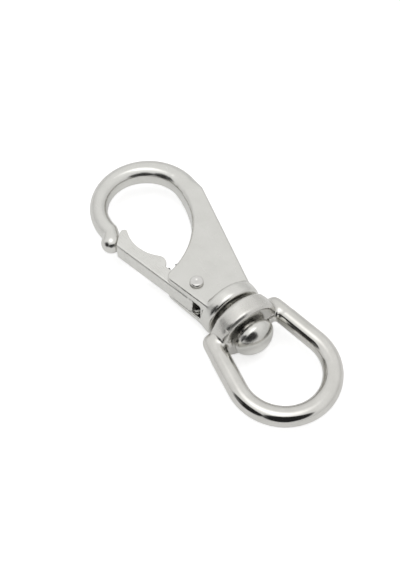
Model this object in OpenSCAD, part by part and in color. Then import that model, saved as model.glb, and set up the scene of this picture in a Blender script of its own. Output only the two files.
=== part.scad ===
// Swivel snap hook, lying flat.
// X runs across the hook with the gate on its -X side, Y runs along the swivel
// from the eye to the crown of the hook, and Z is square to the flat of the hook.
// The origin is the centre of the eye's round end. All lengths are millimetres.

/* [Eye] */
// Diameter of the round bar that forms the bow of the eye
bow_bar_d = 5; // [4:0.1:5.6]
// Inside radius of the bow's round end
bow_in_r = 9.3; // [8.6:0.1:10.6]
// Angle at which each side of the bow closes in towards the swivel
bow_taper = 10; // [6:0.5:12]
// Diameter of the boss that closes the bow
boss_d = 17.2; // [14:0.2:18]
// Length of the boss along the swivel
boss_len = 5; // [4.2:0.1:6.4]
// Distance from the centre of the bow's round end to the boss
boss_y = 13; // [12:0.1:15]
// Width of the bevels on the rims of the boss
boss_bevel = 0.7; // [0.3:0.1:1.1]

/* [Swivel] */
// Diameter of the shank that the eye turns on
shank_d = 5.6; // [4.6:0.1:6.6]
// Clearance all round between the shank and the boss
shank_gap = 0.08; // [0.05:0.01:0.1]
// Diameter of the button that the end of the shank is upset into
button_d = 10.6; // [9:0.1:12]
// Length of the button's straight rim
button_rim = 1.6; // [1.4:0.1:2.6]
// Height of the button's dome above its rim
button_dome = 3; // [2:0.1:3.2]
// Play between the button and the boss
button_play = 0.9; // [0.3:0.1:1.2]
// Play between the boss and the collar
collar_play = 1.2; // [0.6:0.1:1.6]
// How far the collar's rim lies inside the rim of the boss that it faces
collar_step = 0.6; // [0:0.1:1]
// Length of the collar along the swivel
collar_len = 4; // [3:0.1:5]
// Radius that rounds the rims of the collar
collar_round = 1.2; // [0.5:0.1:1.4]

/* [Loop] */
// Distance from the centre of the eye to the centre of the hook's loop
loop_y = 59.6; // [58:0.1:64]
// Inside radius of the loop
loop_in_r = 9.9; // [9.3:0.05:10.3]
// Width of the loop's bar at the nose
bar_nose_w = 4.6; // [4.5:0.1:5.2]
// Width of the loop's bar at the plate
bar_root_w = 6.2; // [5.8:0.1:6.8]
// Thickness of the loop's bar across the flat of the hook
bar_h = 6; // [5.4:0.1:6.4]
// Height of the flat band round the inside of the loop
band_h = 2.6; // [2:0.1:3.4]

/* [Nose] */
// Distance from the loop's centre down to where its bar runs into the nose
nose_from = 2; // [1.4:0.1:2.6]
// Diameter of the rounded nose that ends the loop
nose_d = 5.4; // [5:0.1:5.8]
// Distance that the nose stands out past the side of the loop
nose_out = 1.6; // [1.2:0.1:1.9]
// Distance from the loop's centre down to the middle of the nose
nose_drop = 4.8; // [4.4:0.1:5.1]
// Distance from the middle of the nose to the face that the gate shuts against
nose_face = 1.95; // [1.6:0.05:2.1]
// Angle between that face and the swivel's axis
nose_face_a = 45; // [42:1:48]

/* [Plate] */
// Width of the plate where it meets the collar
plate_root_w = 13; // [12:0.2:13.4]
// Angle at which the plate spreads from the swivel's axis on the gate's side
plate_lean = 12; // [10.5:0.5:13]
// Thickness of the plate where it meets the collar
plate_root_h = 10.6; // [9.6:0.2:11.4]
// Radius that rounds the long edges of the plate
plate_round = 0.8; // [0.4:0.1:1]
// Radius of the plate's corner between the gate and the throat
corner_r = 2.3; // [1.4:0.1:3]
// Width of the bevels along the throat
throat_bevel = 1.2; // [0.8:0.1:1.4]
// Angle at which those bevels fade towards the collar
throat_fade = 1.5; // [0.5:0.25:2]
// Radius of the throat that runs from the loop to the plate's corner
throat_r = 24; // [22:0.5:25]
// Angle above the loop's level at which the throat leaves the loop
throat_a = 0.5; // [0:0.5:4]

/* [Gate] */
// Distance from the loop's centre down to the rivet
rivet_drop = 30.2; // [29.8:0.1:31.2]
// Distance of the rivet from the swivel's axis, towards the gate
rivet_offset = 4.2; // [3.9:0.1:4.6]
// Angle between the shut gate's spine and the swivel's axis
gate_lean = 14; // [13:0.5:15]
// Thickness of the sheet that the gate is folded from
sheet_t = 0.75; // [0.6:0.05:0.9]
// Height of the gate over its two cheeks
gate_h = 5.3; // [4.8:0.1:5.5]
// Distance from the rivet to the outside of the gate's spine
gate_back = 3.8; // [3.6:0.1:4]
// Length of the spine's tail past the rivet
tail_len = 2.3; // [1.8:0.1:2.5]
// Width of the gate's cheeks below the hump
neck_w = 3.6; // [3.3:0.1:3.8]
// Distance from the rivet to the middle of the gate's hump
hump_y = 12.4; // [12:0.1:13]
// Width of the gate's cheeks at the hump that the spring sits behind
hump_w = 5.3; // [5:0.1:5.5]
// Radius of the hump
hump_r = 2.2; // [2:0.1:2.5]
// Width of the gate's cheeks at the tip
tip_w = 5.4; // [5:0.1:5.6]
// Radius of the corner of the gate's tip
tip_r = 1.1; // [0.6:0.1:1.4]
// Least width of the gate's cheeks, in the hollow above the hump
hollow_w = 3.4; // [3.2:0.1:3.6]
// Radius of the hollow between the hump and the tip of the gate
hollow_r = 10.5; // [9:0.5:12]
// Clearance between each cheek of the gate and its slot
gate_gap = 0.15; // [0.1:0.05:0.25]

/* [Rivet] */
// Diameter of the rivet that the gate turns on
rivet_d = 2.4; // [2:0.1:2.8]
// Diameter of the rivet's domed heads
rivet_head_d = 3.4; // [3.2:0.1:4.2]
// Height of the rivet's domed heads
rivet_head_h = 1; // [0.6:0.1:1.2]

/* [Spring] */
// Outside diameter of the spring's coil
spring_d = 3.1; // [2.6:0.1:3.2]
// Diameter of the spring's wire
wire_d = 0.5; // [0.4:0.05:0.6]
// Number of turns in the spring
spring_turns = 6; // [4:1:7]
// Distance from the rivet up to the spring's axis
spring_rise = 8.8; // [8.4:0.1:8.9]
// Depth of the seat that holds the spring in the plate
seat_depth = 0.8; // [0.5:0.1:1.2]

/* [Hidden] */
$fn = 64;

STEEL = "gainsboro";
SATIN = "lightgray";
// How far a cutting tool runs past what it cuts, and a size larger than the hook
past = 1;
big = 60;
// Clearance round the rivet in the plate, and in the gate that turns on it
rivet_fit = 0.02;
rivet_gap = 0.06;
// Gap between the shut gate and the face of the nose
face_gap = 0.05;
// Step between the button's dome and its rim
dome_step = 0.05;
// Room between the gate's boss and the floor of its slot, and at the slot's end
slot_room = 0.6;
end_room = 1.4;
// Where the bow's bar meets the boss, as a share of the boss's length
bow_level = 0.36;
// How far the ball in each corner of the bow stands proud of the bar
knuckle_proud = 0.05;
// How much flatter the loop's inner side is rounded than its outer side
lip_flat = 0.2;
// Height of the plate's corner above the lowest line of the throat
corner_rise = 1.3;
// Thickness of the slices that the plate and nose start from, inside the loop's bar
slice = 0.03;

// The swivel, from the eye up to the plate
bow_r = bow_in_r + bow_bar_d/2;
bow_mid = boss_y + boss_len*bow_level;
side_len = (bow_mid - bow_r*sin(bow_taper))/cos(bow_taper);
knuckle_x = bow_r*cos(bow_taper) - side_len*sin(bow_taper);
knuckle_r = bow_bar_d/2 + knuckle_proud;
button_top = boss_y - button_play;
button_y = button_top - button_rim;
collar_y = boss_y + boss_len + collar_play;
collar_d = boss_d - 2*collar_step;
plate_y = collar_y + collar_len - collar_round;
bore_d = shank_d + 2*shank_gap;
dome_edge_r = button_d/2 - dome_step;
dome_r = (dome_edge_r*dome_edge_r + button_dome*button_dome)/(2*button_dome);

// The loop: the bar's outer side is a full round, its inner side is a flatter
// round that the bore of the loop cuts to a flat band
loop_out_r = loop_in_r + (bar_nose_w + bar_root_w)/2;
out_x = (bar_root_w - bar_nose_w)/2;
out_mid_r = loop_out_r - bar_h/2;
lip_r = bar_h/2 + lip_flat;
lip_mid_r = loop_in_r + sqrt(lip_r*lip_r - band_h*band_h/4);

// The throat leaves the loop here, and here the loop's bar becomes plate and nose
join_y = loop_y + loop_in_r*sin(throat_a);
throat_x = (loop_in_r - throat_r)*cos(throat_a);
throat_y = loop_y + (loop_in_r - throat_r)*sin(throat_a);

// The nose reaches a little further out than the loop
nose_x = out_x - loop_out_r + nose_d/2 - nose_out;
nose_y = loop_y - nose_drop;

// The plain edge of the plate runs straight from the collar to touch the loop
plate_rise = loop_y - plate_y;
edge_dx = out_x - plate_root_w/2;
edge_a = atan2(edge_dx, plate_rise) + asin(loop_out_r/norm([edge_dx, plate_rise]));

// The round of the plate's corner touches the throat and the plate's edge, both
// measured from the centre of the throat
corner_reach = throat_r + corner_r;
edge_slope = tan(plate_lean);
edge_reach = corner_r/cos(plate_lean) - throat_x - gate_side_x(throat_y);
corner_dy = (edge_reach*edge_slope - sqrt(pow(corner_reach/cos(plate_lean), 2) - edge_reach*edge_reach))
    *pow(cos(plate_lean), 2);
corner_x = throat_x + edge_reach - corner_dy*edge_slope;
corner_y = throat_y + corner_dy;
corner_a = atan2(-corner_dy, throat_x - corner_x);

// Slope of the plate's faces
slope_a = atan((plate_root_h - bar_h)/2/plate_rise);

// The gate, whose own axes are at the rivet, with Y along the spine
rivet_x = -rivet_offset;
rivet_y = loop_y - rivet_drop;
slot_h = gate_h + 2*gate_gap;
slot_x = rivet_x + gate_back + slot_room;
slot_y = rivet_y - gate_back - end_room;
hump_x = hump_w - gate_back - hump_r;
hollow_x = hollow_w - gate_back + hollow_r;
hollow_y = hump_y + sqrt(pow(hollow_r + hump_r, 2) - pow(hollow_x - hump_x, 2));
nose_in_gate = [
    (nose_x - rivet_x)*cos(gate_lean) + (nose_y - rivet_y)*sin(gate_lean),
    (nose_y - rivet_y)*cos(gate_lean) - (nose_x - rivet_x)*sin(gate_lean)
];
tip_a = -nose_face_a - gate_lean;
tip_x = tip_w - gate_back - tip_r;
tip_y = nose_in_gate.y + (nose_in_gate.x - tip_x)*cos(tip_a)/sin(tip_a)
    + (nose_face + face_gap + tip_r)/sin(tip_a);
blend_y = hump_y + (hollow_y - hump_y)*hump_r/(hollow_r + hump_r);

// The spring lies across the slot, from the gate's spine to its seat in the plate
spring_y = rivet_y + spring_rise;
spring_r = (spring_d - wire_d)/2;
spring_x0 = spine_x(spring_y - spring_d/2) + (sheet_t + face_gap)/cos(gate_lean);
spring_x1 = slot_x + seat_depth - face_gap;

// Half the thickness of the plate at a distance y along the swivel
function plate_z(y) = bar_h/2 + (plate_root_h - bar_h)/2*(loop_y - y)/plate_rise;

// Half the width of the plate on its plain side, and on the gate's side
function plate_x(y) = plate_root_w/2 + (y - plate_y)*tan(edge_a);
function gate_side_x(y) = plate_root_w/2 + (y - plate_y)*tan(plate_lean);

// Where the outside of the shut gate's spine lies
function spine_x(y) = rivet_x - gate_back/cos(gate_lean) - (y - rivet_y)*tan(gate_lean);

// A bar of a given diameter from the origin along +Y
module rod(d, len) {
    rotate([-90, 0, 0])
        cylinder(d = d, h = len);
}

// A disc about the Y axis with rounded rims
module rounded_disc(d, len, r) {
    rotate([-90, 0, 0])
        rotate_extrude()
            difference() {
                square([d/2, len]);
                translate([d/2 - r, r])
                    corner_waste(r, 0, -90);
                translate([d/2 - r, len - r])
                    corner_waste(r, 0, 90);
            }
}

// What is cut off a corner to round it: the corner's two sides touch a circle of
// radius r about the origin, in the directions a1 and a2
module corner_waste(r, a1, a2) {
    side1 = [cos(a1), sin(a1)];
    side2 = [cos(a2), sin(a2)];
    tip = (side1 + side2)/(1 + side1*side2);
    difference() {
        polygon([[0, 0], r*side1, (r + past)*tip, r*side2]);
        circle(r);
    }
}

// Everything on the gate's side of the nose's face
module beyond_face() {
    translate([nose_x, nose_y, 0])
        rotate([0, 0, -nose_face_a])
            translate([nose_face, -big/2, -big/2])
                cube(big);
}

// Everything on the nose's side of the gap at its face
module before_face() {
    translate([nose_x, nose_y, 0])
        rotate([0, 0, -nose_face_a])
            translate([nose_face + face_gap - big, -big/2, -big/2])
                cube(big);
}

// The loop's whole ring
module ring() {
    difference() {
        translate([out_x, loop_y, 0]) {
            cylinder(r = out_mid_r, h = bar_h, center = true);
            rotate_extrude()
                translate([out_mid_r, 0])
                    intersection() {
                        circle(d = bar_h);
                        translate([0, -bar_h/2])
                            square(bar_h);
                    }
        }
        translate([0, loop_y, 0]) {
            cylinder(r = loop_in_r, h = bar_h + 2*past, center = true);
            rotate_extrude()
                difference() {
                    translate([0, -bar_h])
                        square([lip_mid_r, 2*bar_h]);
                    translate([lip_mid_r, 0])
                        circle(lip_r);
                }
        }
    }
}

// A slice of the bar at a height above the loop's centre, where it runs into the
// plate (side 1) or the nose (side -1): within both rounds, and outside the bore
module bar_end(side, rise) {
    outer_x = side*out_x + sqrt(out_mid_r*out_mid_r - rise*rise);
    lip_x = sqrt(lip_mid_r*lip_mid_r - rise*rise);
    band_x = sqrt(loop_in_r*loop_in_r - rise*rise);
    translate([0, loop_y + rise, 0])
        rotate([-90, 0, 0])
            linear_extrude(slice)
                mirror([1 - side, 0, 0])
                    intersection() {
                        union() {
                            translate([outer_x, 0])
                                circle(bar_h/2 - slice, $fn = 32);
                            translate([outer_x - big, slice - bar_h/2])
                                square([big, bar_h - 2*slice]);
                        }
                        union() {
                            translate([lip_x, 0])
                                circle(lip_r - slice, $fn = 32);
                            translate([lip_x, -bar_h])
                                square([big, 2*bar_h]);
                        }
                        translate([band_x, -bar_h])
                            square([big, 2*bar_h]);
                    }
}

// The loop, open towards the gate between the plate and the nose
module loop() {
    difference() {
        ring();
        translate([-big, loop_y - nose_from - big, -big/2])
            cube(big);
        translate([0, join_y - big, -big/2])
            cube(big);
    }
}

// The rounded nose, with the face that the gate shuts against
module nose() {
    difference() {
        hull() {
            bar_end(-1, -nose_from);
            translate([nose_x, nose_y, 0])
                sphere(d = nose_d, $fn = 32);
        }
        beyond_face();
    }
}

// Two balls that round the plate's edges where its outline turns
module plate_balls(x, y, r) {
    for (side = [-1, 1])
        translate([x, y, side*(plate_z(y) - r)])
            sphere(r, $fn = 16);
}

// The plate tapers in thickness from the collar to the loop, and the throat is
// cut out of its side
module plate() {
    side_x = out_x + out_mid_r*cos(edge_a);
    side_y = loop_y - out_mid_r*sin(edge_a);
    full_y = side_y - bar_h/4;
    top_y = throat_y - throat_r + corner_rise;
    inset = plate_round/cos(edge_a);
    difference() {
        hull() {
            bar_end(1, join_y - loop_y);
            translate([side_x, side_y, 0])
                sphere(bar_h/2, $fn = 32);
            plate_balls(plate_x(full_y) - inset, full_y, plate_round);
            plate_balls(plate_x(plate_y) - inset, plate_y, plate_round);
            plate_balls(-gate_side_x(plate_y) + inset, plate_y, plate_round);
            plate_balls(-gate_side_x(top_y) + inset, top_y, plate_round);
        }
        translate([throat_x, throat_y, 0])
            cylinder(r = throat_r, h = big, center = true, $fn = 160);
        throat_edge();
        mirror([0, 0, 1])
            throat_edge();
        translate([corner_x, corner_y, -big/2])
            linear_extrude(big)
                corner_waste(corner_r, 180 + plate_lean, corner_a);
    }
}

// The bevel of the throat's rim, square to the sloping face of the plate
module throat_edge() {
    deep = throat_bevel + past;
    translate([throat_x, throat_y, 0])
        rotate([-slope_a - throat_fade, 0, 0])
            translate([0, 0, plate_z(throat_y)*cos(slope_a) - throat_bevel])
                cylinder(r1 = throat_r, r2 = throat_r + deep, h = deep, $fn = 160);
}

// The shank and the button that its end is upset into
module swivel_pin() {
    translate([0, button_y, 0]) {
        rod(shank_d, plate_y - button_y);
        rod(button_d, button_rim);
        difference() {
            translate([0, dome_r - button_dome, 0])
                sphere(dome_r);
            translate([-big/2, 0, -big/2])
                cube(big);
        }
    }
}

// The slot that forks the plate, and the spring's seat in its floor
module gate_slot() {
    translate([slot_x - big, slot_y, -slot_h/2])
        cube([big, loop_y - loop_in_r - slot_y, slot_h]);
    translate([slot_x - past, spring_y, 0])
        rotate([0, 90, 0])
            cylinder(d = spring_d + 2*gate_gap, h = seat_depth + past);
}

// The hook's forging: loop, nose, forked plate, collar, shank and button
module hook_body() {
    color(SATIN)
        difference() {
            union() {
                loop();
                nose();
                plate();
                translate([0, collar_y, 0])
                    rounded_disc(collar_d, collar_len, collar_round);
                swivel_pin();
            }
            gate_slot();
            translate([rivet_x, rivet_y, 0])
                cylinder(d = rivet_d + 2*rivet_fit, h = big, center = true);
        }
}

// One side of the bow, from its round end to the boss
module bow_side() {
    rotate([0, 0, bow_taper])
        translate([bow_r, 0, 0])
            rod(bow_bar_d, side_len);
    translate([knuckle_x, bow_mid, 0]) {
        sphere(knuckle_r);
        rotate([0, -90, 0])
            cylinder(d = bow_bar_d, h = knuckle_x - shank_d);
    }
}

// The eye is one casting: a bow of round bar that closes in a bored boss
module swivel_eye() {
    color(STEEL)
        difference() {
            union() {
                rotate([0, 0, 180 - bow_taper])
                    rotate_extrude(angle = 180 + 2*bow_taper)
                        translate([bow_r, 0])
                            circle(d = bow_bar_d);
                bow_side();
                mirror([1, 0, 0])
                    bow_side();
                translate([0, boss_y, 0])
                    boss();
            }
            translate([0, boss_y - past, 0])
                rod(bore_d, boss_len + 2*past);
        }
}

// The boss's barrel, with bevelled rims
module boss() {
    rotate([-90, 0, 0])
        rotate_extrude()
            polygon([
                [0, 0],
                [boss_d/2 - boss_bevel, 0],
                [boss_d/2, boss_bevel],
                [boss_d/2, boss_len - boss_bevel],
                [boss_d/2 - boss_bevel, boss_len],
                [0, boss_len]
            ]);
}

// The side view of the gate: boss at the rivet, neck, hump, hollow and tip
module gate_outline() {
    circle(gate_back);
    translate([-gate_back, -tail_len])
        square([sheet_t, tail_len]);
    translate([-gate_back, 0])
        square([neck_w, hump_y]);
    translate([hump_x, hump_y])
        circle(hump_r);
    translate([-gate_back, hump_y])
        square([hump_x + gate_back, blend_y - hump_y]);
    difference() {
        translate([-gate_back, blend_y])
            square([tip_w, big]);
        translate([hollow_x, hollow_y])
            circle(hollow_r, $fn = 128);
        translate([tip_x, tip_y])
            corner_waste(tip_r, 0, tip_a + 180);
    }
}

// The gate is sheet folded round its spine, with the rivet through both cheeks
module gate() {
    color(STEEL)
        difference() {
            translate([rivet_x, rivet_y, 0])
                rotate([0, 0, gate_lean])
                    difference() {
                        linear_extrude(gate_h, center = true)
                            gate_outline();
                        translate([sheet_t - gate_back, -big/2, sheet_t - gate_h/2])
                            cube([big, big, gate_h - 2*sheet_t]);
                        cylinder(d = rivet_d + 2*rivet_gap, h = big, center = true);
                    }
            before_face();
        }
}

// The rivet: its heads are closed down flat on the sloping faces of the plate
module gate_rivet() {
    head_z = plate_z(rivet_y);
    head_ball = (rivet_head_d*rivet_head_d/4 + rivet_head_h*rivet_head_h)/(2*rivet_head_h);
    color(STEEL)
        translate([rivet_x, rivet_y, 0])
            for (side = [0, 1])
                mirror([0, 0, side]) {
                    cylinder(d = rivet_d, h = head_z);
                    rotate([-slope_a, 0, 0])
                        translate([0, 0, head_z*cos(slope_a)])
                            intersection() {
                                cylinder(d = rivet_head_d, h = big);
                                translate([0, 0, rivet_head_h - head_ball])
                                    sphere(head_ball);
                            }
                }
}

// The spring's wire, wound about X with a closed turn at each end
module gate_spring() {
    steps = 20;
    sides = 8;
    count = steps*spring_turns;
    rings = [for (i = [0:count]) wire_ring(i/steps, sides)];
    points = [for (one = rings, p = one) p];
    walls = [for (i = [0:count - 1], j = [0:sides - 1])
        let (k = (j + 1)%sides)
        [i*sides + j, i*sides + k, (i + 1)*sides + k, (i + 1)*sides + j]];
    ends = [[for (j = [sides - 1:-1:0]) j], [for (j = [0:sides - 1]) count*sides + j]];
    color(STEEL)
        translate([0, spring_y, 0])
            polyhedron(points, concat(walls, ends), convexity = 8);
}

// One ring of points round the wire after a number of turns
function wire_ring(turns, sides) =
    [for (j = [0:sides - 1])
        let (a = 360*j/sides)
        let (r = spring_r + wire_d/2*cos(a))
        [wire_x(turns) + wire_d/2*sin(a), r*sin(360*turns), r*cos(360*turns)]];

// How far along X the wire has come: the end turns lie closed
function wire_x(turns) =
    let (closed = wire_d*1.04)
    let (room = spring_x1 - spring_x0 - wire_d - 2*closed)
    let (open_turns = max(0, min(spring_turns - 2, turns - 1)))
    let (end_turns = min(1, turns) + max(0, turns - spring_turns + 1))
    spring_x0 + wire_d/2 + end_turns*closed + open_turns*room/(spring_turns - 2);

hook_body();
swivel_eye();
gate();
gate_rivet();
gate_spring();
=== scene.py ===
# %% [markdown]
# # A swivel snap hook in polished steel
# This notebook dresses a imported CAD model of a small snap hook. The CAD part already
# has the true sizes, so nothing here changes a dimension. Each cell makes one piece or
# one finish, and says why it is made that way. All lengths in the code are metres, so
# `mm` turns the millimetres that a maker would say into metres.

# %% Load the frame
import math
import bpy
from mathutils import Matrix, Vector


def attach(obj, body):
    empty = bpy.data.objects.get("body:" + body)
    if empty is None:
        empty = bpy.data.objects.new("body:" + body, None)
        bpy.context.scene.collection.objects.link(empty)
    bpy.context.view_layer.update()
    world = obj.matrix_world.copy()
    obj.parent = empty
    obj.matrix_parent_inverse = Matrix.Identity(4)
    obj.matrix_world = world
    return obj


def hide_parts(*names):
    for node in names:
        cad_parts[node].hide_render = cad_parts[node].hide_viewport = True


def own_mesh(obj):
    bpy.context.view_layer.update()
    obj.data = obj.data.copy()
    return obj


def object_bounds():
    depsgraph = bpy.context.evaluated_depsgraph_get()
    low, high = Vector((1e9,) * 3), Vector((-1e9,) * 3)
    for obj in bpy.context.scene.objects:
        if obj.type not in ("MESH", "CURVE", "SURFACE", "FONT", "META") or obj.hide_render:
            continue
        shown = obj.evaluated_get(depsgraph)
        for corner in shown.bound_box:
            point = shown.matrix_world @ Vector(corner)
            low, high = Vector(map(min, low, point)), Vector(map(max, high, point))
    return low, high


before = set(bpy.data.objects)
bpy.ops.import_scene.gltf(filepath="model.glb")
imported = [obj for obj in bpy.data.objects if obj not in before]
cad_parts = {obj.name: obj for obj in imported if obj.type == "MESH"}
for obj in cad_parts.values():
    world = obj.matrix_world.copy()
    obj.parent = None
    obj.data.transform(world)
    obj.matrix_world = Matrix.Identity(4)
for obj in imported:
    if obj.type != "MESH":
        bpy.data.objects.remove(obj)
cad_box = [list(corner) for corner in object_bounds()]
mm = 0.001
print("CAD nodes:", sorted(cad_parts))

# %% [markdown]
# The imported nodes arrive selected, and an operator acts on all that is selected. So
# the first helper clears the selection and makes one object active. The second applies
# a modifier by its operator, as a click on Apply would.

# %% Helpers for one active object
def activate(obj):
    for other in list(bpy.context.selected_objects):
        other.select_set(False)
    obj.select_set(True)
    bpy.context.view_layer.objects.active = obj
    return obj


def apply_modifier(obj, kind, **settings):
    activate(obj)
    modifier = obj.modifiers.new(kind.title(), kind)
    for name, value in settings.items():
        setattr(modifier, name, value)
    bpy.ops.object.modifier_apply(modifier=modifier.name)


def describe(obj):
    size = ", ".join(f"{value / mm:.1f}" for value in obj.dimensions)
    print(f"{obj.name}: {len(obj.data.polygons)} faces, {size} mm")


activate(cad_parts["hook_body"])
print("selected now:", [obj.name for obj in bpy.context.selected_objects])

# %% [markdown]
# In edit mode a maker clicks on the edges and faces to work on. A script picks them by
# their place or by the way they face, so these two helpers take a small test and
# select whatever passes it. Edit mode must be left and entered again, because the
# selection is written to the mesh itself.

# %% Select by place
def select_edges(obj, test):
    bpy.ops.object.mode_set(mode="OBJECT")
    points = [vertex.co.copy() for vertex in obj.data.vertices]
    for vertex in obj.data.vertices:
        vertex.select = False
    for face in obj.data.polygons:
        face.select = False
    count = 0
    for edge in obj.data.edges:
        edge.select = test(points[edge.vertices[0]], points[edge.vertices[1]])
        count += edge.select
    bpy.ops.object.mode_set(mode="EDIT")
    bpy.ops.mesh.select_mode(type="EDGE")
    return count


def select_faces(obj, test):
    bpy.ops.object.mode_set(mode="OBJECT")
    for vertex in obj.data.vertices:
        vertex.select = False
    for edge in obj.data.edges:
        edge.select = False
    count = 0
    for face in obj.data.polygons:
        face.select = test(face.center, face.normal)
        count += face.select
    bpy.ops.object.mode_set(mode="EDIT")
    bpy.ops.mesh.select_mode(type="FACE")
    return count


print("edges and faces can be picked by place")

# %% [markdown]
# A finished piece keeps its object at the origin, unturned, with its place in its mesh.
# `settle` applies the object's place, so that patterns on Object coordinates line up.
# Then the piece is handed to the body that it moves with, in place of its CAD node.

# %% Settle a piece and hand it to its body
def settle(obj, name):
    activate(obj)
    bpy.ops.object.transform_apply(location=True, rotation=True, scale=True)
    obj.name = name
    obj.data.name = name
    return obj


def stand_for(piece, node, body):
    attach(piece, body)
    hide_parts(node)
    describe(piece)


def copy_of_node(node, name):
    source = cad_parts[node]
    piece = bpy.data.objects.new(name, source.data.copy())
    bpy.context.scene.collection.objects.link(piece)
    piece.data.materials.clear()
    activate(piece)
    bpy.ops.object.mode_set(mode="EDIT")
    bpy.ops.mesh.select_all(action="SELECT")
    bpy.ops.mesh.remove_doubles(threshold=0.001 * mm)
    bpy.ops.object.mode_set(mode="OBJECT")
    return piece


def smooth_where(obj, wanted, rounds):
    activate(obj)
    bpy.ops.object.mode_set(mode="EDIT")
    bpy.ops.mesh.select_mode(type="VERT")
    bpy.ops.mesh.select_all(action="DESELECT")
    bpy.ops.object.mode_set(mode="OBJECT")
    for vertex in obj.data.vertices:
        vertex.select = wanted(vertex.co)
    bpy.ops.object.mode_set(mode="EDIT")
    bpy.ops.mesh.vertices_smooth(factor=0.5, repeat=rounds)
    bpy.ops.object.mode_set(mode="OBJECT")


print("pieces can be settled")

# %% [markdown]
# ## The forged hook
# The real hook is one forging that was tumbled and polished, so every edge on it is
# soft and every corner flows. Bevels could round the edges one by one, but the plate,
# the loop and the collar meet at odd angles where bevels fail. A voxel remesh of a copy
# of the CAD solid, with a few rounds of smoothing, softens all of them at once and
# keeps the size to a few hundredths of a millimetre. Where the round loop runs out into
# the flat plate, the forging flows more, so that place gets more rounds.

# %% Hook body
HOOK_VOXEL = 0.22 * mm


def where_loop_meets_plate(point):
    return 9 * mm < point.x < 12.6 * mm and 56.5 * mm < point.y < 63 * mm


hook = copy_of_node("hook_body", "hook_forging")
apply_modifier(hook, "REMESH", mode="VOXEL", voxel_size=HOOK_VOXEL)
apply_modifier(hook, "SMOOTH", factor=0.5, iterations=12)
smooth_where(hook, where_loop_meets_plate, 36)
bpy.ops.object.shade_smooth()
settle(hook, "hook_forging")
stand_for(hook, "hook_body", "hook")

# %% [markdown]
# ## The eye
# The eye is a bow of round bar that closes in a bored boss. The bow starts as a circle,
# the section of the bar, which is extruded along the straight side and spun round the
# bow, as a bar is bent round a former.

# %% The bow of the eye
BAR_R = 2.5 * mm
BOW_R = 11.8 * mm
TAPER = math.radians(10)
BOW_TOP = 14.8 * mm
along = Vector((-math.sin(TAPER), math.cos(TAPER), 0))
corner = Vector((BOW_R * math.cos(TAPER), BOW_R * math.sin(TAPER), 0))
side = (BOW_TOP - corner.y) / along.y
shoulder = corner + along * side

bpy.ops.mesh.primitive_circle_add(vertices=64, radius=BAR_R, location=shoulder,
                                  rotation=(math.radians(90), 0, TAPER))
eye = activate(bpy.context.object)
bpy.ops.object.transform_apply(location=True, rotation=True, scale=True)
bpy.ops.object.mode_set(mode="EDIT")
bpy.ops.mesh.select_all(action="SELECT")
bpy.ops.mesh.extrude_region_move(TRANSFORM_OT_translate={"value": -along * side})
bpy.ops.mesh.spin(steps=120, angle=math.pi + 2 * TAPER, center=(0, 0, 0), axis=(0, 0, 1))
bpy.ops.mesh.extrude_region_move(
    TRANSFORM_OT_translate={"value": Vector((-along.x, along.y, 0)) * side})
bpy.ops.mesh.select_all(action="SELECT")
bpy.ops.mesh.remove_doubles(threshold=0.001 * mm)
bpy.ops.mesh.select_all(action="DESELECT")
bpy.ops.mesh.select_non_manifold()
bpy.ops.mesh.edge_face_add()
bpy.ops.mesh.select_all(action="SELECT")
bpy.ops.mesh.normals_make_consistent(inside=False)
bpy.ops.object.mode_set(mode="OBJECT")
describe(eye)

# %% [markdown]
# At its top the bar turns in to the boss. A ball rounds each shoulder, and a short
# length of the same bar runs from each one into the boss's body.

# %% The shoulders of the bow
def add_part(make, **settings):
    make(**settings)
    part = activate(bpy.context.object)
    bpy.ops.object.transform_apply(location=True, rotation=True, scale=True)
    return part


shoulders = [
    add_part(bpy.ops.mesh.primitive_uv_sphere_add, segments=48, ring_count=32,
             radius=BAR_R, location=(turn * (shoulder.x - 0.1 * mm), BOW_TOP + 0.7 * mm, 0))
    for turn in (1, -1)
]
shoulders += [
    add_part(bpy.ops.mesh.primitive_cylinder_add, vertices=48, radius=BAR_R, depth=4 * mm,
             location=(turn * (shoulder.x - 2 * mm), BOW_TOP, 0),
             rotation=(0, math.radians(90), 0))
    for turn in (1, -1)
]
print("shoulders at x = +-%.2f mm" % (shoulder.x / mm))

# %% [markdown]
# The boss is a turned barrel. Its rims are bevelled, then both ends are inset and
# bridged, which opens the bore that the shank turns in.

# %% The boss
BOSS_R = 8.6 * mm
BOSS_FROM = 13 * mm
BOSS_LEN = 5 * mm
BORE_R = 2.88 * mm
RIM = 0.7 * mm
boss = add_part(bpy.ops.mesh.primitive_cylinder_add, vertices=96, radius=BOSS_R,
                depth=BOSS_LEN, location=(0, BOSS_FROM + BOSS_LEN / 2, 0),
                rotation=(math.radians(90), 0, 0))
select_edges(boss, lambda a, b: abs(a.y - b.y) < 0.01 * mm)
bpy.ops.mesh.bevel(offset=RIM, segments=1, affect="EDGES")
select_faces(boss, lambda centre, normal: abs(normal.y) > 0.99)
bpy.ops.mesh.inset(thickness=BOSS_R - RIM - BORE_R, use_individual=True)
bpy.ops.mesh.bridge_edge_loops()
bpy.ops.object.mode_set(mode="OBJECT")
describe(boss)

# %% [markdown]
# The real eye is cast in one, with small fillets where the bow runs into the boss. So
# the pieces are joined and remeshed into one skin, and the smoothing makes the fillets.
# The shoulders get many more rounds of it than the rest, because the metal is
# thickest there and the casting flows the most.

# %% One casting
EYE_VOXEL = 0.17 * mm


def at_a_shoulder(point):
    return abs(point.x) > 6.4 * mm and 11.5 * mm < point.y < 18.2 * mm


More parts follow.
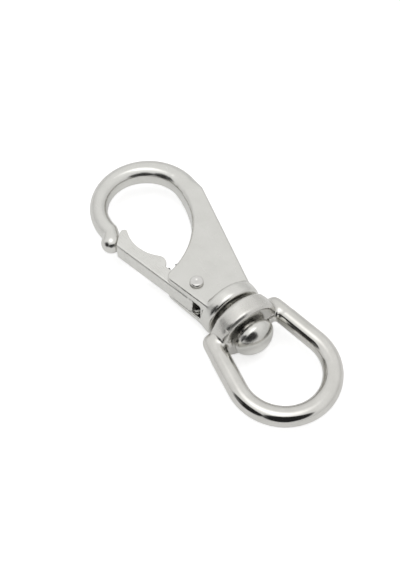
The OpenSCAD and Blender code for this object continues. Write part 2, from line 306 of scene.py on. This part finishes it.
activate(eye)
for part in shoulders + [boss]:
    part.select_set(True)
bpy.ops.object.join()
apply_modifier(eye, "REMESH", mode="VOXEL", voxel_size=EYE_VOXEL)
apply_modifier(eye, "SMOOTH", factor=0.5, iterations=16)
smooth_where(eye, at_a_shoulder, 70)
bpy.ops.object.shade_smooth()
settle(eye, "eye_casting")
stand_for(eye, "swivel_eye", "eye")

# %% [markdown]
# ## The folded gate
# The gate is sheet folded to a channel. It leans in the hook, so its edges are easiest
# to find in the gate's own frame: x runs across the spine, y along it from the pivot.
# The two tests below pick the long edges of the fold and the corners of the tail.

# %% The gate's own frame
LEAN = math.radians(14)
PIVOT = Vector((-4.2 * mm, 29.4 * mm, 0))
SPINE = -3.8 * mm
HALF = 2.65 * mm
SHEET = 0.75 * mm
TAIL = 2.3 * mm
NEAR = 0.02 * mm


def in_gate(point):
    x, y = point.x - PIVOT.x, point.y - PIVOT.y
    return Vector((x * math.cos(LEAN) + y * math.sin(LEAN),
                   y * math.cos(LEAN) - x * math.sin(LEAN), point.z))


def at_side(point):
    return abs(abs(point.z) - HALF) < NEAR


def on_bend(a, b):
    a, b = in_gate(a), in_gate(b)
    flush = all(abs(p.x - SPINE) < NEAR and at_side(p) for p in (a, b))
    return flush and abs(a.y - b.y) > 1 * mm


def on_tail_corner(a, b):
    a, b = in_gate(a), in_gate(b)
    flush = all(abs(p.y + TAIL) < NEAR and at_side(p) for p in (a, b))
    return flush and abs(a.x - b.x) > 0.5 * SHEET


print("the pivot in the gate's frame:", [round(value, 4) for value in in_gate(PIVOT)])

# %% [markdown]
# The long edges of the fold are bends with a real radius, and the tail is a tongue with
# a round end, while the cut edges of the cheeks are only broken by the tumbling. The
# copy's triangles are dissolved first, so that each long edge, and each corner of the
# tail, is one edge to bevel.

# %% Gate
BEND = 0.6 * mm
TONGUE_R = 1.9 * mm
GATE_VOXEL = 0.12 * mm

gate = copy_of_node("gate", "gate_sheet")
bpy.ops.object.mode_set(mode="EDIT")
bpy.ops.mesh.select_all(action="SELECT")
bpy.ops.mesh.dissolve_limited(angle_limit=math.radians(0.5))
print("corners of the tail to round:", select_edges(gate, on_tail_corner))
bpy.ops.mesh.bevel(offset=TONGUE_R, segments=10, affect="EDGES")
print("bends to round:", select_edges(gate, on_bend))
bpy.ops.mesh.bevel(offset=BEND, segments=6, affect="EDGES")
bpy.ops.object.mode_set(mode="OBJECT")
apply_modifier(gate, "REMESH", mode="VOXEL", voxel_size=GATE_VOXEL)
apply_modifier(gate, "SMOOTH", factor=0.5, iterations=6)
bpy.ops.object.shade_smooth()
settle(gate, "gate_sheet")
stand_for(gate, "gate", "gate")

# %% [markdown]
# ## The rivet
# A rivet is a plain pin whose ends are closed down into heads. One head is turned from
# a short cylinder: its top rim is rounded, its middle dented by the punch, and its
# underside is inset to the shank's size and drawn down to the middle of the hook. The
# other half is its mirror image.

# %% Rivet
HEAD_R = 1.7 * mm
HEAD_H = 0.95 * mm
SHANK_R = 1.2 * mm
SEAT_Z = 4.85 * mm
SLOPE = math.radians(3.5)
up = Vector((0, math.sin(SLOPE), math.cos(SLOPE)))
seat = Vector((PIVOT.x, PIVOT.y, SEAT_Z))
rivet = add_part(bpy.ops.mesh.primitive_cylinder_add, vertices=48, radius=HEAD_R,
                 depth=HEAD_H, location=seat + up * HEAD_H / 2, rotation=(-SLOPE, 0, 0))
select_edges(rivet, lambda a, b: min((a - seat).dot(up), (b - seat).dot(up)) > 0.5 * mm)
bpy.ops.mesh.bevel(offset=0.5 * mm, segments=6, affect="EDGES")
select_faces(rivet, lambda centre, normal: normal.dot(up) > 0.999)
bpy.ops.mesh.inset(thickness=0.8 * mm)
bpy.ops.mesh.inset(thickness=0.2 * mm, depth=-0.12 * mm)
select_faces(rivet, lambda centre, normal: normal.dot(up) < -0.99)
bpy.ops.mesh.inset(thickness=HEAD_R - SHANK_R)
bpy.ops.mesh.extrude_region_move(
    TRANSFORM_OT_translate={"value": (0, 0, -SEAT_Z - 0.5 * mm)})
bpy.ops.mesh.select_all(action="SELECT")
bpy.ops.mesh.bisect(plane_co=(0, 0, 0), plane_no=(0, 0, 1), clear_inner=True)
bpy.ops.object.mode_set(mode="OBJECT")
apply_modifier(rivet, "MIRROR", use_axis=(False, False, True), use_mirror_merge=True)
bpy.ops.object.mode_set(mode="EDIT")
bpy.ops.mesh.select_all(action="SELECT")
bpy.ops.mesh.remove_doubles(threshold=0.001 * mm)
bpy.ops.mesh.normals_make_consistent(inside=False)
bpy.ops.object.mode_set(mode="OBJECT")
bpy.ops.object.shade_smooth_by_angle(angle=math.radians(40))
settle(rivet, "rivet")
stand_for(rivet, "gate_rivet", "hook")

# %% [markdown]
# ## The spring
# The spring's wire is wound about the X axis, with a closed turn at each end. The CAD
# copy is a coarse eight-sided wire, and one level of subdivision makes it round.

# %% Spring
spring = copy_of_node("gate_spring", "spring_coil")
apply_modifier(spring, "SUBSURF", levels=1, render_levels=1)
bpy.ops.object.shade_smooth()
settle(spring, "spring_coil")
stand_for(spring, "gate_spring", "hook")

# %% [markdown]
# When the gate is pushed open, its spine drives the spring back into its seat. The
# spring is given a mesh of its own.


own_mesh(spring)

# %% [markdown]
# ## Finishes
# Every piece is stainless steel, so the finishes differ only in how they were polished.
# Three effects are shared by more than one finish, and each is a node group that is
# built once: the cloudy tone of tumbled steel, the fine grain that a belt leaves, and
# the faint marks of handling. A group gives out values only. The colour, the metal and
# the bump stay in each material, where the export can read them.

# %% Node group helpers
def new_group(name, inputs, outputs):
    group = bpy.data.node_groups.new(name, "ShaderNodeTree")
    for label, value in inputs.items():
        socket = group.interface.new_socket(label, in_out="INPUT", socket_type="NodeSocketFloat")
        socket.default_value = value
    for label in outputs:
        group.interface.new_socket(label, in_out="OUTPUT", socket_type="NodeSocketFloat")
    return group, group.nodes.new("NodeGroupInput"), group.nodes.new("NodeGroupOutput")


def math_node(tree, operation, first, second):
    node = tree.nodes.new("ShaderNodeMath")
    node.operation = operation
    for socket, value in zip(node.inputs, (first, second)):
        if isinstance(value, (int, float)):
            socket.default_value = value
        else:
            tree.links.new(value, socket)
    return node.outputs[0]


def noise_node(tree, vector, scale, detail, roughness=0.5):
    node = tree.nodes.new("ShaderNodeTexNoise")
    node.inputs["Detail"].default_value = detail
    node.inputs["Roughness"].default_value = roughness
    tree.links.new(vector, node.inputs["Vector"])
    if isinstance(scale, (int, float)):
        node.inputs["Scale"].default_value = scale
    else:
        tree.links.new(scale, node.inputs["Scale"])
    return node.outputs["Fac"]


print("node groups can be built")

# %% [markdown]
# Tumbling leaves steel slightly uneven: some patches are a touch more matt, and the
# surface undulates by a few hundredths of a millimetre. One broad noise gives the
# patches and a finer one gives the height for a very weak bump.

# %% Group: tumbled steel
tumbled, taken, given = new_group(
    "tumbled steel", {"Patch scale": 250.0, "Ripple scale": 1400.0}, ["Patches", "Ripple"])
place = tumbled.nodes.new("ShaderNodeTexCoord").outputs["Object"]
for label, scale, detail in (("Patches", "Patch scale", 3), ("Ripple", "Ripple scale", 2)):
    noise = noise_node(tumbled, place, taken.outputs[scale], detail)
    tumbled.links.new(noise, given.inputs[label])
print("group:", tumbled.name)

# %% [markdown]
# A belt grinds flats in one direction. Noise that is squeezed across the belt's
# direction and drawn out along it gives the fine lines. The grain runs along Y here,
# as the plate and the gate lie.

# %% Group: belt grain
grain, taken, given = new_group("belt grain", {"Fineness": 6000.0, "Length": 0.04}, ["Lines"])
place = grain.nodes.new("ShaderNodeTexCoord").outputs["Object"]
stretch = grain.nodes.new("ShaderNodeCombineXYZ")
for axis, value in (("X", 1.0), ("Z", 1.0)):
    stretch.inputs[axis].default_value = value
grain.links.new(taken.outputs["Length"], stretch.inputs["Y"])
drawn = grain.nodes.new("ShaderNodeVectorMath")
drawn.operation = "MULTIPLY"
grain.links.new(place, drawn.inputs[0])
grain.links.new(stretch.outputs[0], drawn.inputs[1])
lines = noise_node(grain, drawn.outputs[0], taken.outputs["Fineness"], 3, 0.6)
grain.links.new(lines, given.inputs["Lines"])
print("group:", grain.name)

# %% [markdown]
# Small snap hooks knock against each other in the box. The marks are short and sparse,
# so a stretched noise is cut off high, and only its peaks are left.

# %% Group: handling marks
marks, taken, given = new_group("handling marks", {"Scale": 2600.0, "Least": 0.68}, ["Marks"])
place = marks.nodes.new("ShaderNodeTexCoord").outputs["Object"]
turned = marks.nodes.new("ShaderNodeMapping")
turned.inputs["Rotation"].default_value = (0.3, 0.2, 0.9)
turned.inputs["Scale"].default_value = (1.0, 0.12, 1.0)
marks.links.new(place, turned.inputs["Vector"])
peaks = noise_node(marks, turned.outputs[0], taken.outputs["Scale"], 2)
over = math_node(marks, "SUBTRACT", peaks, taken.outputs["Least"])
sharp = math_node(marks, "MULTIPLY", over, 12.0)
held = marks.nodes.new("ShaderNodeClamp")
marks.links.new(sharp, held.inputs["Value"])
marks.links.new(held.outputs[0], given.inputs["Marks"])
print("group:", marks.name)

# %% [markdown]
# Two finishes also change from place to place. The face of the boss was left satin
# from the mould while the bow was polished, so its mask is 1 between the boss's ends
# and fades out at the shoulders. The crease under a rivet's head gets painted shade: a
# second mask rises from the plate, and near the plate the colour is painted near-black.
# Both read Object coordinates, the place on the piece.

# %% Masks by place
BOSS_EDGE = (12.6 * mm, 13.2 * mm)
BOSS_SIDE = (8.8 * mm, 7.2 * mm)
# The near-black below is painted shade, for the crease under the rivet's heads.
PAINTED_CREASE_SHADE = (0.05, 0.047, 0.04, 1)


def place_axes(tree):
    axes = tree.nodes.new("ShaderNodeSeparateXYZ")
    tree.links.new(tree.nodes.new("ShaderNodeTexCoord").outputs["Object"], axes.inputs[0])
    return axes.outputs


def rise(tree, value, span):
    node = tree.nodes.new("ShaderNodeMapRange")
    node.inputs["From Min"].default_value, node.inputs["From Max"].default_value = span
    tree.links.new(value, node.inputs["Value"])
    return node.outputs["Result"]


def boss_mask(tree):
    axes = place_axes(tree)
    forward = rise(tree, axes["Y"], BOSS_EDGE)
    sideways = rise(tree, math_node(tree, "ABSOLUTE", axes["X"], 0.0), BOSS_SIDE)
    return math_node(tree, "MULTIPLY", forward, sideways)


# Painted shade: the colour goes to near-black towards the plate, where the crease is.
def painted_crease_shade(tree, colour, span):
    height = math_node(tree, "ABSOLUTE", place_axes(tree)["Z"], 0.0)
    mix = tree.nodes.new("ShaderNodeMix")
    mix.data_type = "RGBA"
    # On a colour Mix node, sockets 6 and 7 are the two colours and output 2 is the result
    mix.inputs[6].default_value = PAINTED_CREASE_SHADE
    tree.links.new(rise(tree, height, span), mix.inputs[0])
    tree.links.new(colour, mix.inputs[7])
    return mix.outputs[2]


print("masks by place are ready")

# %% [markdown]
# Each finish is one Principled shader. The tone is mixed from two greys by the patches,
# the roughness goes up a little in the patches, along the grain and in the marks, and
# the ripple and the grain together give the height for the bump.

# %% Tone, roughness and height
MARK_SHARE = 0.12
GRAIN_ROUGH = 0.25
BUMP_HEIGHT = 0.02 * mm


def cloudy_tone(tree, patches, tones):
    ramp = tree.nodes.new("ShaderNodeValToRGB")
    for element, position, tone in zip(ramp.color_ramp.elements, (0.3, 0.7), tones):
        element.position = position
        element.color = (*tone, 1)
    tree.links.new(patches, ramp.inputs["Fac"])
    return ramp.outputs["Color"]


def roughness(tree, placed, rough, grain_share):
    spread = math_node(tree, "MULTIPLY", placed["Patches"], rough[1] - rough[0])
    base = math_node(tree, "ADD", spread, rough[0])
    ground = math_node(tree, "MULTIPLY", placed["Lines"], GRAIN_ROUGH * grain_share)
    worn = math_node(tree, "MULTIPLY", placed["Marks"], MARK_SHARE)
    return math_node(tree, "ADD", math_node(tree, "ADD", base, ground), worn)


def fine_relief(tree, placed, ripple, grain_share):
    waves = math_node(tree, "MULTIPLY", placed["Ripple"], 1 - grain_share)
    cuts = math_node(tree, "MULTIPLY", placed["Lines"], grain_share)
    bump = tree.nodes.new("ShaderNodeBump")
    bump.inputs["Strength"].default_value = ripple
    bump.inputs["Distance"].default_value = BUMP_HEIGHT
    tree.links.new(math_node(tree, "ADD", waves, cuts), bump.inputs["Height"])
    return bump.outputs["Normal"]


print("a mark adds", MARK_SHARE, "to the roughness")

# %% [markdown]
# One function puts the parts together. It places the three groups, gathers their
# outputs by name, and adds the satin boss or the painted shade in the rivet's crease
# where a finish asks for it.

# %% One finish from the three groups
def steel_finish(name, tones, rough, ripple, grain_share=0.0, boss=0.0, crease=()):
    material = bpy.data.materials.new(name)
    material.use_nodes = True
    tree = material.node_tree
    shader = tree.nodes["Principled BSDF"]
    shader.inputs["Metallic"].default_value = 1.0
    placed = {}
    for group in (tumbled, grain, marks):
        node = tree.nodes.new("ShaderNodeGroup")
        node.node_tree = group
        placed.update(node.outputs.items())
    colour = cloudy_tone(tree, placed["Patches"], tones)
    # A finish with a crease span gets painted shade there.
    if crease:
        colour = painted_crease_shade(tree, colour, crease)
    total = roughness(tree, placed, rough, grain_share)
    if boss:
        satin = math_node(tree, "ADD", placed["Ripple"], 0.4)
        satin = math_node(tree, "MULTIPLY", satin, boss)
        satin = math_node(tree, "MULTIPLY", boss_mask(tree), satin)
        total = math_node(tree, "ADD", total, satin)
    tree.links.new(colour, shader.inputs["Base Color"])
    tree.links.new(total, shader.inputs["Roughness"])
    relief = fine_relief(tree, placed, ripple, grain_share)
    tree.links.new(relief, shader.inputs["Normal"])
    return material


print("a steel can be finished")

# %% [markdown]
# The forging and the gate were belt ground, so they carry grain. The casting and the
# rivet were only tumbled bright. The spring is dark drawn wire, left as it came off the
# reel.

# %% The five finishes
forged = steel_finish("forged_steel", ((0.64, 0.635, 0.605), (0.675, 0.67, 0.64)),
                      rough=(0.13, 0.19), ripple=0.25, grain_share=0.4)
cast = steel_finish("cast_steel", ((0.59, 0.58, 0.55), (0.66, 0.65, 0.62)),
                    rough=(0.1, 0.17), ripple=0.15, boss=0.17)
sheet = steel_finish("sheet_steel", ((0.65, 0.645, 0.615), (0.705, 0.7, 0.67)),
                     rough=(0.16, 0.26), ripple=0.25, grain_share=0.6)
# The rivet gets painted shade in the crease under its heads.
pinned = steel_finish("rivet_steel", ((0.62, 0.61, 0.59), (0.68, 0.67, 0.65)),
                      rough=(0.1, 0.18), ripple=0.15, crease=(4.9 * mm, 5.15 * mm))
drawn_wire = steel_finish("spring_wire", ((0.04, 0.04, 0.038), (0.08, 0.08, 0.075)),
                          rough=(0.25, 0.35), ripple=0.2)
finishes = {hook: forged, eye: cast, gate: sheet, rivet: pinned, spring: drawn_wire}
for piece, finish in finishes.items():
    piece.data.materials.clear()
    piece.data.materials.append(finish)
    print(piece.name, "is finished in", finish.name)

# %% [markdown]
# ## The studio
# Polished steel has hardly a colour of its own: it shows the room. The room here is a
# white tent, so most of the steel is light grey, with a large soft lamp overhead. The
# world is plain white to the camera, and gives a softer level of diffuse light. In
# reflections the tent's walls are a little darker than its roof, which shades the
# outer sides of every round bar.

# %% World
TENT_GLOW = 0.4
WALL_LEVEL = 0.8
world = bpy.data.worlds.new("white tent")
bpy.context.scene.world = world
world.use_nodes = True
tree = world.node_tree
backdrop = tree.nodes["Background"]
rays = tree.nodes.new("ShaderNodeLightPath").outputs
mirrored = math_node(tree, "MAXIMUM", rays["Is Glossy Ray"], rays["Is Transmission Ray"])
either = math_node(tree, "MAXIMUM", rays["Is Camera Ray"], mirrored)
lift = math_node(tree, "MULTIPLY", either, 1.0 - TENT_GLOW)
level = math_node(tree, "ADD", lift, TENT_GLOW)
heading = tree.nodes.new("ShaderNodeSeparateXYZ")
tree.links.new(tree.nodes.new("ShaderNodeTexCoord").outputs["Generated"], heading.inputs[0])
wall = tree.nodes.new("ShaderNodeMapRange")
wall.interpolation_type = "SMOOTHSTEP"
wall.inputs["From Min"].default_value = 0.1
wall.inputs["From Max"].default_value = 0.68
wall.inputs["To Min"].default_value = WALL_LEVEL
tree.links.new(heading.outputs["Z"], wall.inputs["Value"])
shaded = math_node(tree, "MULTIPLY", level, wall.outputs["Result"])
level = math_node(tree, "MAXIMUM", shaded, rays["Is Camera Ray"])
tree.links.new(level, backdrop.inputs["Strength"])
backdrop.inputs["Color"].default_value = (1, 1, 1, 1)
print("world:", world.name)

# %% [markdown]
# The floor is a pale matt table, a hair below the lowest point of the hook. Its own
# light lifts it to white for the camera and in reflections, and its diffuse part keeps
# the soft shadow under the piece.

# %% Floor
bpy.ops.object.select_all(action="DESELECT")
bpy.ops.mesh.primitive_plane_add(size=4, location=(0, 0, cad_box[0][2] - 0.02 * mm))
floor = bpy.context.object
floor.name = "floor"
table = bpy.data.materials.new("pale_table")
table.use_nodes = True
tree = table.node_tree
shader = tree.nodes["Principled BSDF"]
shader.inputs["Base Color"].default_value = (0.8, 0.8, 0.8, 1)
shader.inputs["Roughness"].default_value = 0.9
shader.inputs["Emission Color"].default_value = (1, 1, 1, 1)
rays = tree.nodes.new("ShaderNodeLightPath").outputs
mirrored = math_node(tree, "MAXIMUM", rays["Is Glossy Ray"], rays["Is Transmission Ray"])
mirrored = math_node(tree, "MULTIPLY", mirrored, 0.2)
direct = math_node(tree, "MULTIPLY", rays["Is Camera Ray"], 0.6)
glow = math_node(tree, "MAXIMUM", direct, mirrored)
tree.links.new(glow, shader.inputs["Emission Strength"])
floor.data.materials.append(table)
print("floor at z = %.2f mm" % (floor.location.z / mm))

# %% [markdown]
# One large lamp hangs overhead for the plain light on the table. In steel its square
# edge would show, so it is hidden from reflections, and a glowing card takes its place
# there.

# %% Lamp
def lamp(name, place, aim, size, watts):
    data = bpy.data.lights.new(name, "AREA")
    data.shape = "RECTANGLE"
    data.size, data.size_y = size
    data.energy = watts
    obj = bpy.data.objects.new(name, data)
    bpy.context.scene.collection.objects.link(obj)
    obj.location = place
    obj.rotation_euler = (Vector(aim) - Vector(place)).to_track_quat("-Z", "Y").to_euler()
    obj.visible_glossy = False
    return obj


lamp("overhead", (-0.05, 0.0, 0.6), aim=(0, 0.03, 0), size=(0.62, 0.62), watts=2.2)
print("lamp hung")

# %% [markdown]
# Without something dark to reflect, steel looks like plaster, so dark cards stand where
# the open front of the tent would be. A card is a plane that gives out its own level of
# light from its middle, up to the share of its width named `core`, and is clear at its
# rim, as a card just out of focus looks. The cards show only in reflections.

# %% Cards
def card(name, place, aim, size, level, core):
    bpy.ops.object.select_all(action="DESELECT")
    bpy.ops.mesh.primitive_plane_add(size=1, location=place)
    obj = bpy.context.object
    obj.name = name
    obj.scale = (size[0], size[1], 1)
    obj.rotation_euler = (Vector(aim) - Vector(place)).to_track_quat("Z", "Y").to_euler()
    paint = bpy.data.materials.new(name)
    paint.use_nodes = True
    tree = paint.node_tree
    coat = tree.nodes["Principled BSDF"]
    coat.inputs["Base Color"].default_value = (0, 0, 0, 1)
    coat.inputs["Specular IOR Level"].default_value = 0
    coat.inputs["Emission Color"].default_value = (1, 1, 1, 1)
    coat.inputs["Emission Strength"].default_value = level
    radius = tree.nodes.new("ShaderNodeVectorMath")
    radius.operation = "LENGTH"
    tree.links.new(tree.nodes.new("ShaderNodeTexCoord").outputs["Object"], radius.inputs[0])
    fade = tree.nodes.new("ShaderNodeMapRange")
    fade.interpolation_type = "SMOOTHSTEP"
    fade.inputs["From Min"].default_value = 0.5
    fade.inputs["From Max"].default_value = core
    tree.links.new(radius.outputs["Value"], fade.inputs["Value"])
    tree.links.new(fade.outputs["Result"], coat.inputs["Alpha"])
    obj.data.materials.append(paint)
    obj.visible_camera = False
    obj.visible_diffuse = False
    obj.visible_shadow = False
    return obj


BLACK = 0.02
card("soft_box", (-0.05, 0.0, 0.6), (0, 0.02, 0), (0.78, 0.78), level=2.1, core=0.02)
card("dark_left", (-0.5, 0.01, 0.26), (0, 0.03, 0.26), (0.58, 0.56), BLACK, core=0.4)
card("dark_front", (-0.29, -0.38, 0.23), (0, 0.03, 0.23), (0.54, 0.48), BLACK, core=0.4)
card("dark_near", (-0.03, -0.072, 0.052), (0.008, -0.01, 0.0), (0.132, 0.092), BLACK, core=0.38)
card("grey_left", (-0.5, 0.1, 0.14), (0, 0.03, 0.14), (0.44, 0.32), level=0.15, core=0.15)
print("studio is lit")

# %% [markdown]
# The camera looks down on the near side from the left, with a long lens.

# %% Camera
camera_data = bpy.data.cameras.new("camera")
camera_data.sensor_fit = "VERTICAL"
camera_data.sensor_height = 36
camera_data.lens = 56.84
camera_data.clip_start = 0.01
camera = bpy.data.objects.new("camera", camera_data)
bpy.context.scene.collection.objects.link(camera)
camera.location = Vector((-73.9, -72.2, 186.5)) * mm
aim = Vector((-2.05, 31.08, 0)) * mm
camera.rotation_euler = (aim - camera.location).to_track_quat("-Z", "Y").to_euler()
bpy.context.scene.camera = camera
bpy.context.scene.view_settings.view_transform = "Standard"
print("camera is %.0f mm from its aim" % ((aim - camera.location).length / mm))
